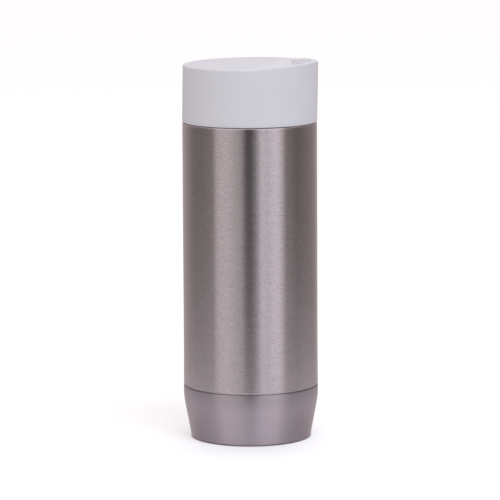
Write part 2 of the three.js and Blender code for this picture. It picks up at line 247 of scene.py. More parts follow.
def carve(obj, steps):
    """Adds solids to obj ("UNION") or cuts them out of it ("DIFFERENCE"), in order."""
    tools = []
    for operation, solid in steps:
        tool = to_object(obj.name + "_tool", solid)
        modifier = obj.modifiers.new(operation.lower(), "BOOLEAN")
        modifier.operation = operation
        modifier.solver = "EXACT"
        modifier.object = tool
        tools.append(tool)
    depsgraph = bpy.context.evaluated_depsgraph_get()
    made = bpy.data.meshes.new_from_object(obj.evaluated_get(depsgraph))
    obj.modifiers.clear()
    close_slivers(made)
    obj.data = made
    for tool in tools:
        bpy.data.objects.remove(tool)
    return obj


def close_slivers(mesh):
    """Merges the vertices that a cut leaves almost on top of each other."""
    edit = bmesh.new()
    edit.from_mesh(mesh)
    bmesh.ops.remove_doubles(edit, verts=edit.verts, dist=SLIVER)
    bmesh.ops.dissolve_degenerate(edit, edges=edit.edges, dist=SLIVER)
    edit.to_mesh(mesh)
    edit.free()


def finish_piece(obj, body, node, slot):
    """Shades a piece, paints it and lets it ride on its body in place of its CAD node."""
    obj.data.shade_smooth()
    obj.data.set_sharp_from_angle(angle=SHARP_ANGLE)
    obj.data.materials.clear()
    obj.data.materials.append(MATERIALS[slot])
    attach(obj, body)
    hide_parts(node)


# ---------------------------------------------------------------- materials

STEEL = (0.60, 0.535, 0.555)
SATIN = (0.57, 0.50, 0.54)
CREASE = (0.0614, -0.0240)  # how much more the lid's ramp climbs than its dish, along X and Y


class Nodes:
    """A node tree under construction, with shorthands for what the materials and the world share."""

    def __init__(self, tree):
        self.tree = tree
        tree.nodes.clear()

    def node(self, kind, **settings):
        made = self.tree.nodes.new(kind)
        for key, value in settings.items():
            setattr(made, key, value)
        return made

    def link(self, source, target):
        self.tree.links.new(source, target)

    def give(self, target, value):
        """Links an output to a socket, or sets the socket to a value."""
        if isinstance(value, bpy.types.NodeSocket):
            self.link(value, target)
        else:
            target.default_value = value

    def math(self, operation, a, b, clamp=False):
        made = self.node("ShaderNodeMath", operation=operation, use_clamp=clamp)
        self.give(made.inputs[0], a)
        self.give(made.inputs[1], b)
        return made.outputs[0]

    def product(self, *factors):
        total = factors[0]
        for factor in factors[1:]:
            total = self.math("MULTIPLY", total, factor)
        return total

    def remap(self, value, low, high, from_low=0.3, from_high=0.7, smooth=False):
        """Maps from_low..from_high to low..high, held at both ends."""
        made = self.node("ShaderNodeMapRange", interpolation_type="SMOOTHSTEP" if smooth else "LINEAR")
        given = {"Value": value, "From Min": from_low, "From Max": from_high, "To Min": low, "To Max": high}
        for name, setting in given.items():
            self.give(made.inputs[name], setting)
        return made.outputs["Result"]

    def dot(self, vector, direction):
        made = self.node("ShaderNodeVectorMath", operation="DOT_PRODUCT")
        self.link(vector, made.inputs[0])
        made.inputs[1].default_value = direction
        return made.outputs["Value"]

    def distance_from_axis(self, vector):
        """Length of a vector's part across Z."""
        flat = self.node("ShaderNodeVectorMath", operation="MULTIPLY")
        self.link(vector, flat.inputs[0])
        flat.inputs[1].default_value = (1, 1, 0)
        length = self.node("ShaderNodeVectorMath", operation="LENGTH")
        self.link(flat.outputs["Vector"], length.inputs[0])
        return length.outputs["Value"]

    def mix_colours(self, factor, a, b):
        made = self.node("ShaderNodeMix", data_type="RGBA")
        for name, value in {"Factor": factor, "A": a, "B": b}.items():
            self.give(made.inputs[name], value)
        return made.outputs["Result"]

    def mix_shaders(self, factor, a, b):
        made = self.node("ShaderNodeMixShader")
        self.link(factor, made.inputs["Fac"])
        self.link(a.outputs[0], made.inputs[1])
        self.link(b.outputs[0], made.inputs[2])
        return made.outputs[0]


class Paint(Nodes):
    """A node material with a Principled shader, and shorthands for what the finishes share."""

    def __init__(self, name):
        self.material = bpy.data.materials.new(name)
        self.material.use_nodes = True
        super().__init__(self.material.node_tree)
        self.shader = self.node("ShaderNodeBsdfPrincipled")
        output = self.node("ShaderNodeOutputMaterial")
        self.link(self.shader.outputs[0], output.inputs["Surface"])
        self.coordinates = self.node("ShaderNodeTexCoord").outputs["Object"]
        self.height = self.dot(self.coordinates, (0, 0, 1))

    def noise(self, scale, detail=2.0, roughness=0.5):
        """Noise whose scale is given per metre, as one number or along X, Y and Z."""
        mapping = self.node("ShaderNodeMapping")
        mapping.inputs["Scale"].default_value = scale if isinstance(scale, tuple) else (scale,) * 3
        self.link(self.coordinates, mapping.inputs["Vector"])
        noise = self.node("ShaderNodeTexNoise")
        noise.inputs["Scale"].default_value = 1.0
        noise.inputs["Detail"].default_value = detail
        noise.inputs["Roughness"].default_value = roughness
        self.link(mapping.outputs["Vector"], noise.inputs["Vector"])
        return noise.outputs["Fac"]

    def mix_noises(self, *weighted):
        """The weighted sum of (weight, noise) pairs."""
        total = None
        for weight, noise in weighted:
            part = self.math("MULTIPLY", noise, weight)
            total = part if total is None else self.math("ADD", total, part)
        return total

    def colour(self, value, dark, light, low=0.3, high=0.7):
        ramp = self.node("ShaderNodeValToRGB")
        first, last = ramp.color_ramp.elements
        first.position, last.position = low, high
        first.color, last.color = (*dark, 1), (*light, 1)
        self.link(value, ramp.inputs["Fac"])
        self.link(ramp.outputs["Color"], self.shader.inputs["Base Color"])

    def tint(self, mask, colour):
        """Multiplies the colour where a mask is 1."""
        mix = self.node("ShaderNodeMix", data_type="RGBA", blend_type="MULTIPLY")
        target = self.shader.inputs["Base Color"]
        self.link(target.links[0].from_socket, mix.inputs["A"])
        mix.inputs["B"].default_value = (*colour, 1)
        self.link(mask, mix.inputs["Factor"])
        self.link(mix.outputs["Result"], target)

    def roughness(self, value, low, high):
        self.link(self.remap(value, low, high), self.shader.inputs["Roughness"])

    def bump(self, value, depth_mm):
        bump = self.node("ShaderNodeBump")
        bump.inputs["Strength"].default_value = 1.0
        bump.inputs["Distance"].default_value = depth_mm * MM
        self.link(value, bump.inputs["Height"])
        self.link(bump.outputs["Normal"], self.shader.inputs["Normal"])

    def set(self, **values):
        for key, value in values.items():
            self.shader.inputs[key.replace("_", " ")].default_value = value

    def over(self, start, end):
        """A mask that grows from 0 to 1 between two heights, in millimetres."""
        return self.remap(self.height, 0, 1, start * MM, end * MM)

    def under(self, start, end):
        """A mask that falls from 1 to 0 between two heights, in millimetres."""
        return self.remap(self.height, 1, 0, start * MM, end * MM)


def shaded(colour, factor):
    """The colour made darker or lighter by a factor."""
    return tuple(min(1.0, c * factor) for c in colour)


def brushed_metal(name, colour, rough, anisotropic, streak, across=520, contrast=1.0):
    """Metal with fine brush lines round the axis: streaks are long round it and fine along Z."""
    paint = Paint(name)
    fine = paint.noise((across * 3, across * 3, 5200), 1, 0.5)
    middle = paint.noise((across, across, 3600), 1, 0.5)
    broad = paint.noise((across / 6, across / 6, 380), 2, 0.5)
    smudge = paint.noise(38, 3, 0.55)
    lines = paint.mix_noises((0.4, fine), (0.5, middle), (0.1, broad))
    paint.colour(lines, shaded(colour, 1 - streak), shaded(colour, 1 + streak), 0.4, 0.6)
    worn = paint.mix_noises((0.7, lines), (0.3, smudge))
    paint.roughness(worn, rough - 0.02 * contrast, rough + 0.02 * contrast)
    paint.bump(paint.mix_noises((0.5, fine), (0.5, middle)), 0.0015 * contrast)
    paint.set(Metallic=1.0, Anisotropic=anisotropic, Anisotropic_Rotation=0.25)
    tangent = paint.node("ShaderNodeTangent", direction_type="RADIAL", axis="Z")
    paint.link(tangent.outputs["Tangent"], paint.shader.inputs["Tangent"])
    return paint


def sleeve_steel():
    """The sleeve's brushed steel, with painted highlights at its shoulder and lower hem; the hem is also
    rubbed dull.
    """
    paint = brushed_metal("brushed_steel", STEEL, 0.25, 0.96, 0.11)
    hem = paint.under(28.6, 29.2)
    shoulder = paint.over(165.6, 166.2)
    # Painted highlights: the hem and the shoulder are made lighter, as if they caught the light.
    for mask in (hem, shoulder):
        paint.tint(mask, (1.3, 1.3, 1.3))
    rough = paint.shader.inputs["Roughness"]
    dulled = paint.math("ADD", rough.links[0].from_socket, paint.math("MULTIPLY", hem, 0.25))
    paint.link(dulled, rough)
    return paint.material


def base_steel():
    """The base cup's satin steel, with painted shade that makes the straight band under the seam a little
    darker.
    """
    paint = brushed_metal("satin_steel", SATIN, 0.32, 0.70, 0.035, 700, 0.5)
    # Painted shade: the straight band under the seam is made darker.
    paint.tint(paint.over(18.5, 23.5), (0.89, 0.89, 0.895))
    return paint.material


def plain_metal(name, colour, rough, grain, dent):
    """Pressed or turned metal with a faint grain and smudges."""
    paint = Paint(name)
    fine = paint.noise(grain, 3, 0.6)
    smudge = paint.noise(60, 3, 0.5)
    blend = paint.mix_noises((0.5, fine), (0.5, smudge))
    paint.colour(blend, shaded(colour, 0.93), shaded(colour, 1.06))
    paint.roughness(blend, rough - 0.05, rough + 0.06)
    paint.bump(fine, dent)
    paint.set(Metallic=1.0)
    return paint.material


def moulded(name, colour, rough, grain, depth, mottle, subsurface=0.0, specular=0.5):
    """Moulded plastic or rubber: fine spark-eroded texture, slight mottling and handling marks."""
    paint = Paint(name)
    fine = paint.noise(grain, 2, 0.55)
    cloudy = paint.noise(46, 3, 0.5)
    marks = paint.noise(240, 4, 0.6)
    blend = paint.mix_noises((0.25, fine), (0.5, cloudy), (0.25, marks))
    paint.colour(blend, shaded(colour, 1 - mottle), shaded(colour, 1 + mottle), 0.35, 0.65)
    paint.roughness(blend, rough - 0.06, rough + 0.06)
    paint.bump(fine, depth)
    paint.set(Specular_IOR_Level=specular)
    if subsurface:
        paint.set(Subsurface_Weight=subsurface, Subsurface_Radius=(1.6 * MM, 1.5 * MM, 1.5 * MM))
        paint.set(Subsurface_Scale=1.0)
    return paint


def lid_plastic():
    """The lid's white plastic.

    Light and shade are painted into it: the top a little lighter, the ramp lighter than the dish, the bottom
    edge a little darker, the well's floor darker towards its chord, and the drinking slot's walls lighter.
    """
    paint = moulded("white_plastic", (0.82, 0.815, 0.84), 0.52, 3000, 0.008, 0.008, 0.35, 0.4)
    rise = paint.dot(paint.node("ShaderNodeNewGeometry").outputs["Normal"], (0, 0, 1))
    across = paint.dot(paint.coordinates, (1, 0, 0))
    past_crease = paint.dot(paint.coordinates, (*CREASE, 0))
    from_axis = paint.distance_from_axis(paint.coordinates)

    top = paint.remap(rise, 0, 1, 0.9, 0.98)
    ramp = paint.remap(past_crease, 0, 1, 0.60 * MM, 0.66 * MM)
    in_well = paint.remap(across, 0, 1, 21.5 * MM, 22.0 * MM)
    near_chord = paint.remap(across, 1, 0, 26.0 * MM, 29.5 * MM)
    in_slot = paint.product(
        paint.remap(from_axis, 1, 0, 30.6 * MM, 30.8 * MM), paint.remap(across, 0, 1, 23.0 * MM, 23.2 * MM),
        paint.remap(rise, 1, 0, 0.6, 0.9), paint.under(197.0, 197.2),
    )
    # Painted light: the upward-facing top is made a little lighter.
    paint.tint(top, (1.03, 1.025, 1.028))
    # Painted light: the ramp is made lighter than the dish.
    paint.tint(paint.product(top, ramp), (1.045, 1.065, 1.065))
    # Painted shade: the bottom edge is made darker.
    paint.tint(paint.under(166.9, 169.2), (0.94, 0.94, 0.945))
    # Painted light: the drinking slot's walls are made lighter.
    paint.tint(in_slot, (1.2, 1.19, 1.17))
    # Painted shade: the well's floor is made darker towards its chord.
    paint.tint(paint.product(top, paint.under(197.2, 197.6), in_well, near_chord), (0.78, 0.745, 0.74))
    return paint.material


def crinkled_foil(name, colour):
    paint = Paint(name)
    cells = paint.node("ShaderNodeTexVoronoi", feature="SMOOTH_F1")
    cells.inputs["Scale"].default_value = 260
    paint.link(paint.coordinates, cells.inputs["Vector"])
    fine = paint.noise(900, 3, 0.6)
    paint.colour(fine, shaded(colour, 0.9), shaded(colour, 1.08))
    paint.roughness(fine, 0.16, 0.3)
    paint.bump(cells.outputs["Distance"], 0.12)
    paint.set(Metallic=1.0)
    return paint.material


def fused_glass(name, colour):
    paint = Paint(name)
    seeds = paint.noise(1400, 3, 0.6)
    paint.colour(seeds, shaded(colour, 0.8), shaded(colour, 1.25))
    paint.roughness(seeds, 0.12, 0.3)
    paint.bump(seeds, 0.02)
    paint.set(Transmission_Weight=0.35, IOR=1.52)
    return paint.material


MATERIALS = {
    "brushed_steel": sleeve_steel(),
    "satin_steel": base_steel(),
    "inner_steel": brushed_metal("inner_steel", (0.66, 0.655, 0.65), 0.3, 0.55, 0.03).material,
    "white_plastic": lid_plastic(),
    "natural_plastic": moulded("natural_plastic", (0.86, 0.86, 0.87), 0.42, 2200, 0.006, 0.015, 0.3).material,
    "grey_plastic": moulded("grey_plastic", (0.24, 0.245, 0.26), 0.5, 2400, 0.012, 0.04).material,
    "foam": moulded("foam", (0.05, 0.05, 0.055), 0.9, 1500, 0.12, 0.2).material,
    "silicone": moulded("silicone", (0.62, 0.635, 0.66), 0.45, 1800, 0.006, 0.02, 0.35).material,
    "foot_rubber": moulded("foot_rubber", (0.025, 0.025, 0.028), 0.7, 1600, 0.03, 0.12).material,
    "foil": crinkled_foil("foil", (0.8, 0.8, 0.81)),
    "getter_metal": plain_metal("getter_metal", (0.12, 0.12, 0.125), 0.75, 2200, 0.05),
    "glass_frit": fused_glass("glass_frit", (0.2, 0.25, 0.19)),
    "screw_steel": plain_metal("screw_steel", (0.66, 0.66, 0.67), 0.24, 1200, 0.003),
}


# ---------------------------------------------------------------- flask


SHEET = 0.6  # thickness of the steel
SLEEVE_RADIUS, SLEEVE_TOP, SLEEVE_MOUTH = 35.25, 166.6, 29.3
LINER_RADIUS, LINER_FLOOR, LINER_JOINT = 31.5, 12.0, 21.7
NECK_TOP = 182.0
BASE_FLOOR, BASE_TOP = 2.1, 27.7
PAD_RADIUS, PAD_TOP, PAD_GROOVE = 29.4, 1.8, 0.45
THREAD_LEAD, THREAD_STARTS = 10.0, 2
THREAD_ROOT, THREAD_CREST = 1.1, 0.5  # half widths of a ridge
THREAD_RUNOUT = math.radians(16)
NECK_RADIUS, NECK_RIDGE = 29.0, 1.0
COLLAR_RADIUS, COLLAR_RIDGE = 31.3, 0.95


def ridge_height(angle, z, start_z, start_angle, sweep):
    """How far the thread stands out at a point of its cylinder, from 0 at its root to 1 at its crest."""
    best = 0.0
    for start in range(THREAD_STARTS):
        along = (angle - start_angle - TAU * start / THREAD_STARTS) % TAU
        for turn in (along, along - TAU):
            if not -THREAD_RUNOUT < turn < sweep + THREAD_RUNOUT:
                continue
            middle = start_z + THREAD_LEAD * turn / TAU
            flank = (THREAD_ROOT - abs(z - middle)) / (THREAD_ROOT - THREAD_CREST)
            end = min(turn, sweep - turn) / THREAD_RUNOUT
            fade = min(1.0, end + 1)
            best = max(best, min(1.0, max(0.0, flank)) * math.sin(fade * math.pi / 2))
    return best


def neck_thread(radius, z, angle):
    """The neck's radius with the thread standing out of it."""
    if abs(radius - NECK_RADIUS) > 0.1 or not 165 < z < 180.5:
        return radius
    return radius + NECK_RIDGE * ridge_height(angle, z, 171.5, 0.0, math.radians(200))


def collar_thread(radius, z, angle):
    """The radius inside the collar's skirt with the thread standing into it."""
    if abs(radius - COLLAR_RADIUS) > 0.1 or not 167 < z < 180:
        return radius
    return radius - COLLAR_RIDGE * ridge_height(angle, z, 169.4, math.radians(10), math.radians(180))


def outer_sleeve():
    """Sleeve with its lower end drawn in under the base cup, and a shoulder rolled in at its mouth."""
    profile = rounded([
        (31.2, 5.4), (33.65, 17.3, 8), (34.5, 22.3, 8), (34.5, 28.0), (35.2, 28.0, 0.15), (35.45, 29.1, 0.8),
        (35.35, 44.0), (35.3, 70.0), (35.3, 105.0), (SLEEVE_RADIUS, 135.0), (SLEEVE_RADIUS, SLEEVE_TOP, 0.4),
        (SLEEVE_MOUTH, SLEEVE_TOP), (SLEEVE_MOUTH, SLEEVE_TOP - SHEET),
        (SLEEVE_RADIUS - SHEET, SLEEVE_TOP - SHEET, 0.2), (SLEEVE_RADIUS - SHEET, 28.9), (33.9, 28.3),
        (33.9, 22.3, 8), (33.05, 17.3, 8), (30.6, 5.4),
    ])
    return turned(profile)


def liner_wall():
    """Straight wall that narrows to the neck, with the thread outside it and a rolled lip."""
    lip, neck, inner = NECK_RADIUS + SHEET, NECK_RADIUS - SHEET, LINER_RADIUS - SHEET
    profile = rounded([
        (LINER_RADIUS, 22.0), (LINER_RADIUS, 154.0, 6), (NECK_RADIUS, 161.0, 4),
        *rows_between(NECK_RADIUS, 165.25, 180.25, 0.25), (NECK_RADIUS, 180.6), (lip, NECK_TOP - 1, 0.2),
        (lip, NECK_TOP, 0.4), (neck, NECK_TOP, 0.4), (neck, 161.0, 4), (inner, 154.0, 6), (inner, 22.0),
    ])
    return turned(profile, shape=neck_thread)


def liner_bottom():
    """Pressed bottom of the liner, a little thicker in the middle."""
    inner, floor = LINER_RADIUS - SHEET, LINER_FLOOR + SHEET
    profile = rounded([
        (0, LINER_FLOOR), (LINER_RADIUS, LINER_FLOOR, 6), (LINER_RADIUS, LINER_JOINT), (inner, LINER_JOINT),
        (inner, floor, 5.4), (9.0, floor, 4), (8.0, floor + 0.3, 4), (0, floor + 0.3),
    ])
    return turned(profile)


def base_shell():
    """Tapered cup on a foot ring, with its floor raised above the pad."""
    profile = rounded([
        (0, BASE_FLOOR), (29.7, BASE_FLOOR), (29.7, 0.5, 0.3), (31.5, 0.5, 0.45), (35.45, 21.6, 36),
        (35.46, BASE_TOP, 0.25), (34.82, BASE_TOP), (34.8, 21.6, 8), (33.95, 17.0, 8),
        (31.05, BASE_FLOOR + SHEET), (0, BASE_FLOOR + SHEET),
    ])
    return turned(profile)


def foot_pad():
    """Rubber pad with a hollow middle and a groove round its underside."""
    profile = rounded([
        (0, PAD_GROOVE), (8.6, PAD_GROOVE), (9.0, 0, 0.15), (20.6, 0, 0.15), (21.0, PAD_GROOVE),
        (22.6, PAD_GROOVE), (23.0, 0, 0.15), (PAD_RADIUS, 0, 0.4), (PAD_RADIUS, PAD_TOP), (0, PAD_TOP),
    ])
    return turned(profile)


def build_flask():
    parts = [
        ("sleeve", outer_sleeve(), "outer_shell", "brushed_steel"),
        ("liner_wall", liner_wall(), "inner_liner", "inner_steel"),
        ("liner_bottom", liner_bottom(), "liner_base", "inner_steel"),
        ("base_shell", base_shell(), "base_cup", "satin_steel"),
        ("foot_ring_pad", foot_pad(), "foot_pad", "foot_rubber"),
    ]
    for name, solid, node, slot in parts:
        finish_piece(to_object(name, solid), "flask", node, slot)


# ---------------------------------------------------------------- lid

LID_BOTTOM, LID_RIM, LID_CEILING = 166.9, 197.1, 194.6
LID_BOTTOM_RADIUS, LID_TOP_RADIUS, LID_WALL = 35.3, 35.35, 2.0
LID_EDGE_ROUND = 0.6
LID_RAKE = 0.6  # how far the top edge is shifted towards the drinking side
DISH_DEPTH, DISH_TILT = 0.2, 0.009
RAMP_SLOPE, RAMP_TURN, RAMP_START = 0.0725, math.radians(-12), 10.7
CREASE_BLEND = 0.12
LIP_DROP, LIP_TURN, LIP_SPREAD = 0.75, 4.0, 12.0  # millimetres, degrees and degrees
LIP_START, LIP_WIDTH = 31.9, 3.4
TOP_LIFT_START = 180.0  # the skirt follows the top's slopes from here up
WELL_RIM, WELL_BOTTOM = (32.5, 21.7, 2.0), (30.6, 22.9, 2.6)  # radius, chord and corner of each outline
WELL_FLOOR, WELL_CLIMB = 196.2, 0.15
SLOT_PATH, SLOT_HALF, SLOT_EDGE = (27.2, 15), 2.6, 0.5
CHUTE_PATH, CHUTE_HALF, CHUTE_WALL, CHUTE_FLOOR = (26.0, 23), 5.4, 1.1, 189.9
PORT_PATH, PORT_HALF = (23.6, 22), 3.0
FACE_PITCH, FACE_GAP = 0.9, 0.45  # of the points on the top face, and how clear they stay of its edges
DISC_BOTTOM, DISC_TOP, DISC_RADIUS = 186.55, 188.55, 29.9
HUB_TOP, HUB_RADIUS = 190.3, 7.2
DRIVE_SIDE, DRIVE_BOTTOM, BOSS_STEP = 7.0, 186.9, 190.6
COLLAR_BOTTOM, COLLAR_TOP, COLLAR_OUTSIDE = 167.0, 188.2, 32.8
DECK_BOTTOM, DECK_TOP = 183.8, 186.0
GROOVE_BOTTOM, GROOVE_TOP, GROOVE_RADIUS = 184.6, 186.4, 31.2
SEAL_BOTTOM, SEAL_TOP, SEAL_WIDTH = 185.1, 186.25, 0.9
SCREW_HEAD, SCREW_SHOULDER, SCREW_TIP = 182.0, 183.0, 192.8


def top_height(x, y):
    """Height of the lid's top: a shallow tilted dish that meets the ramp in a soft crease."""
    spread = (x * x + y * y) / LID_TOP_RADIUS ** 2
    dish = LID_RIM + DISH_TILT * x + DISH_TILT * y - DISH_DEPTH * (1 - spread)
    ramp = LID_RIM + RAMP_SLOPE * (x * math.cos(RAMP_TURN) + y * math.sin(RAMP_TURN) - RAMP_START)
    share = max(CREASE_BLEND - abs(dish - ramp), 0) / CREASE_BLEND
    return max(dish, ramp) + share * share * CREASE_BLEND / 4 - lip_drop(x, y)


def lip_drop(x, y):
    """How far the rim is rounded off where the lips rest on it."""
    angle = math.degrees(math.atan2(y, x)) - LIP_TURN
    outward = max(0.0, (math.hypot(x, y) - LIP_START) / LIP_WIDTH)
    return LIP_DROP * math.exp(-(angle / LIP_SPREAD) ** 2) * outward ** 2


def lean(z):
    """How far the lid's skirt is shifted towards the drinking side at a height."""
    return LID_RAKE * (z - LID_BOTTOM) / (LID_RIM - LID_BOTTOM)


def skirt_profile():
    """(radius, z) points from the ceiling's corner down inside, round the bottom and up to the top edge."""
    inner = LID_BOTTOM_RADIUS - LID_WALL
    points = rounded([
        (inner - 0.5, LID_CEILING), (inner, LID_CEILING, 0.25), (inner, LID_BOTTOM, 0.3),
        (LID_BOTTOM_RADIUS, LID_BOTTOM, 0.7), (LID_TOP_RADIUS, LID_RIM),
    ])[:-1]
    side_steps, edge_steps = 12, 8
    for i in range(1, side_steps):
        share = i / side_steps
        radius = LID_BOTTOM_RADIUS + (LID_TOP_RADIUS - LID_BOTTOM_RADIUS) * share
        points.append((radius, LID_BOTTOM + (LID_RIM - LID_EDGE_ROUND - LID_BOTTOM) * share))
    for i in range(edge_steps + 1):
        angle = math.pi / 2 * i / edge_steps
        radius = LID_TOP_RADIUS - LID_EDGE_ROUND * (1 - math.cos(angle))
        points.append((radius, LID_RIM - LID_EDGE_ROUND * (1 - math.sin(angle))))
    return points


def skirt_loops(solid):
    """The skirt's loops. They stay round inside. Outside, they lean and follow the top's slopes."""
    loops = []
    for radius, z in skirt_profile():
        points = circle(radius, z)
        if radius > LID_BOTTOM_RADIUS - LID_WALL / 2:
            follow = max(0.0, (z - TOP_LIFT_START) / (LID_RIM - TOP_LIFT_START))
            points = [(x + lean(z), y, z + (top_height(x, y) - LID_RIM) * follow) for x, y, _ in points]
        loops.append(solid.loop(points))
    return loops


def well_outline(shape):
    """Outline of the sip well, a disc segment with round corners."""
    radius, chord, corner = shape
    rim_steps, corner_steps, chord_steps = 40, 18, 30
    x = chord + corner
    y = math.sqrt((radius - corner) ** 2 - x * x)
    end = math.atan2(y, x)
    points = arc((0, 0), radius, -end, end, rim_steps)
    points += arc((x, y), corner, end, math.pi, corner_steps)[1:]
    points += [(chord, y - 2 * y * i / chord_steps) for i in range(1, chord_steps)]
    points += arc((x, -y), corner, math.pi, TAU - end, corner_steps)[:-1]
    return points


def floor_height(x):
    """Height of the well's floor, which climbs a little from its chord towards the rim."""
    return WELL_FLOOR + WELL_CLIMB * (x - WELL_BOTTOM[1])


def well_loops(solid):
    """Loops of the sip well from its outline on the top face down its soft wall to the floor."""
    rim = [Vector((x, y, top_height(x, y))) for x, y in well_outline(WELL_RIM)]
    floor = [Vector((x, y, floor_height(x))) for x, y in well_outline(WELL_BOTTOM)]
    steps = 14
    loops = []
    for i in range(steps + 1):
        share = i / steps
        reach = Vector((share, share, share * share * (3 - 2 * share)))
        loops.append(solid.loop([a + (b - a) * reach for a, b in zip(rim, floor)]))
    return loops


def slot_loops(solid):
    """Loops of the drinking slot from its rounded edge in the well's floor down to the ceiling."""
    steps = 5
    loops = []
    for i in range(steps + 1):
        angle = math.pi / 2 * i / steps
        drop = SLOT_EDGE * (1 - math.cos(angle))
        outline = kidney(SLOT_PATH, SLOT_HALF + SLOT_EDGE * (1 - math.sin(angle)), 0)
        loops.append(solid.loop([(x, y, floor_height(x) - drop) for x, y, _ in outline]))
    chamfer = 0.2
    loops.append(solid.loop(kidney(SLOT_PATH, SLOT_HALF, LID_CEILING + chamfer)))
    loops.append(solid.loop(kidney(SLOT_PATH, SLOT_HALF + chamfer, LID_CEILING)))
    return loops


def boss_loops(solid):
    """Loops of the boss under the ceiling, its square drive and the screw's blind hole."""
    count = SMALL_ROUND
    outline = [
        circle(5.5, LID_CEILING, count), circle(5.2, LID_CEILING - 0.3, count), circle(5.2, BOSS_STEP, count),
        square_loop(DRIVE_SIDE, 0.5, BOSS_STEP, count),
        square_loop(DRIVE_SIDE, 0.5, DRIVE_BOTTOM + 0.3, count),
        square_loop(DRIVE_SIDE - 0.4, 0.4, DRIVE_BOTTOM, count), circle(2.35, DRIVE_BOTTOM, count),
        circle(2.2, DRIVE_BOTTOM + 0.2, count), circle(2.2, SCREW_TIP + 0.3, count),
        [(0, 0, SCREW_TIP + 0.3)],
    ]
    loops = [solid.loop(points) for points in outline]
    solid.loft(loops)
    return loops[0]


def face_points(outline):
    """An even hexagonal grid of points inside the top face and clear of the well's outline."""
    row_pitch = FACE_PITCH * math.sqrt(3) / 2
    rows = math.ceil(LID_TOP_RADIUS / row_pitch)
    limit = LID_TOP_RADIUS - LID_EDGE_ROUND - FACE_GAP
    points = []
    for row in range(-rows, rows + 1):
        y = row * row_pitch
        for column in range(-rows - 1, rows + 2):
            x = (column + 0.5 * (row % 2)) * FACE_PITCH
            if math.hypot(x, y) < limit and not is_near(x, y, outline, FACE_GAP):
                points.append((x + lean(LID_RIM) * (math.hypot(x, y) / limit) ** 4, y, top_height(x, y)))
    return points


def is_near(x, y, outline, gap):
    """True inside the outline and within the gap of its points."""
    if is_inside((x, y), outline):
        return True
    return any(abs(x - a) < gap and abs(y - b) < gap for a, b in outline)


def lid_cap():
    """Cap with its skirt, dished top, sip well, drinking slot and boss, as one closed mesh."""
    solid = Solid()
    skirt = skirt_loops(solid)
    well = well_loops(solid)
    slot = slot_loops(solid)
    for loops in (skirt, well, slot):
        solid.loft(loops)
    boss = boss_loops(solid)
    inner = solid.loop(face_points([solid.verts[i][:2] for i in well[0]]))
    solid.fill(skirt[-1], [well[0]], inner)
    solid.fill(well[-1], [slot[0]])
    solid.fill(skirt[0], [slot[-1], boss])
    return to_object("lid_shell", solid)


def valve_plate():
    """The disc, its hub, and the open chute that carries the drink up to the slot."""
    disc = rounded([
        (0, DISC_BOTTOM), (DISC_RADIUS, DISC_BOTTOM, 0.3), (DISC_RADIUS, DISC_TOP, 0.3), (0, DISC_TOP),
    ])
    hub = rounded([(0, 187.0), (HUB_RADIUS, 187.0), (HUB_RADIUS, HUB_TOP, 0.3), (0, HUB_TOP)])
    # One segment less than the other large parts: no edge of the disc then meets a corner of the square hole.
    plate = to_object("valve_plate", turned(disc, ROUND - 1))
    return carve(plate, [
        ("UNION", turned(hub, SMALL_ROUND)),
        ("UNION", kidney_block(CHUTE_PATH, CHUTE_HALF + CHUTE_WALL, 188.0, 194.3)),
        ("DIFFERENCE", square_block(DRIVE_SIDE + 0.6, 0.5, 180, 195)),
        ("DIFFERENCE", kidney_block(CHUTE_PATH, CHUTE_HALF, CHUTE_FLOOR, 196)),
        ("DIFFERENCE", kidney_block(PORT_PATH, PORT_HALF, 180, CHUTE_FLOOR + 1)),
    ])


def collar():
    """Threaded skirt and deck, with the port, the seal's recess, the O-ring groove and the screw's well."""
    profile = rounded([
        (COLLAR_OUTSIDE, COLLAR_BOTTOM, 0.3), (COLLAR_OUTSIDE, GROOVE_BOTTOM, 0.15),
        (GROOVE_RADIUS, GROOVE_BOTTOM), (GROOVE_RADIUS, GROOVE_TOP), (COLLAR_OUTSIDE, GROOVE_TOP, 0.15),
        (COLLAR_OUTSIDE, COLLAR_TOP, 0.2), (30.3, COLLAR_TOP, 0.2), (30.3, DECK_TOP), (2.3, DECK_TOP),
        (2.3, DECK_BOTTOM), (7.0, DECK_BOTTOM), (7.0, 180.6), (8.3, 180.6, 0.2), (8.3, DECK_BOTTOM, 0.4),
        (COLLAR_RADIUS, DECK_BOTTOM, 0.5), *rows_between(COLLAR_RADIUS, 180.5, 167.5, 0.25),
        (COLLAR_RADIUS, COLLAR_BOTTOM + 0.2), (COLLAR_RADIUS + 0.2, COLLAR_BOTTOM),
    ])
    made = to_object("collar_skirt", turned(profile, shape=collar_thread))
    return carve(made, [
        ("DIFFERENCE", kidney_block(PORT_PATH, PORT_HALF, 180, 190)),
        ("DIFFERENCE", kidney_block(PORT_PATH, PORT_HALF + 1.2, 184.8, 190)),
    ])


def port_seal():
    """Kidney-shaped silicone ring with a rounded lip."""
    solid = Solid()
    section = rounded([
        (0, SEAL_BOTTOM, 0.1), (SEAL_WIDTH, SEAL_BOTTOM, 0.1), (SEAL_WIDTH, SEAL_TOP, 0.35),
        (0, SEAL_TOP, 0.35),
    ])
    loops = [solid.loop(kidney(PORT_PATH, PORT_HALF + off, z)) for off, z in section]
    solid.loft(loops, closed=True)
    return to_object("port_lip_seal", solid)


def o_ring():
    return turned(arc((32.2, 185.5), 0.75, 0, TAU, 20)[:-1])


def gasket():
    return turned(rounded([(27.9, 182.3, 0.3), (30.0, 182.3, 0.3), (30.0, 183.5, 0.3), (27.9, 183.5, 0.3)]))


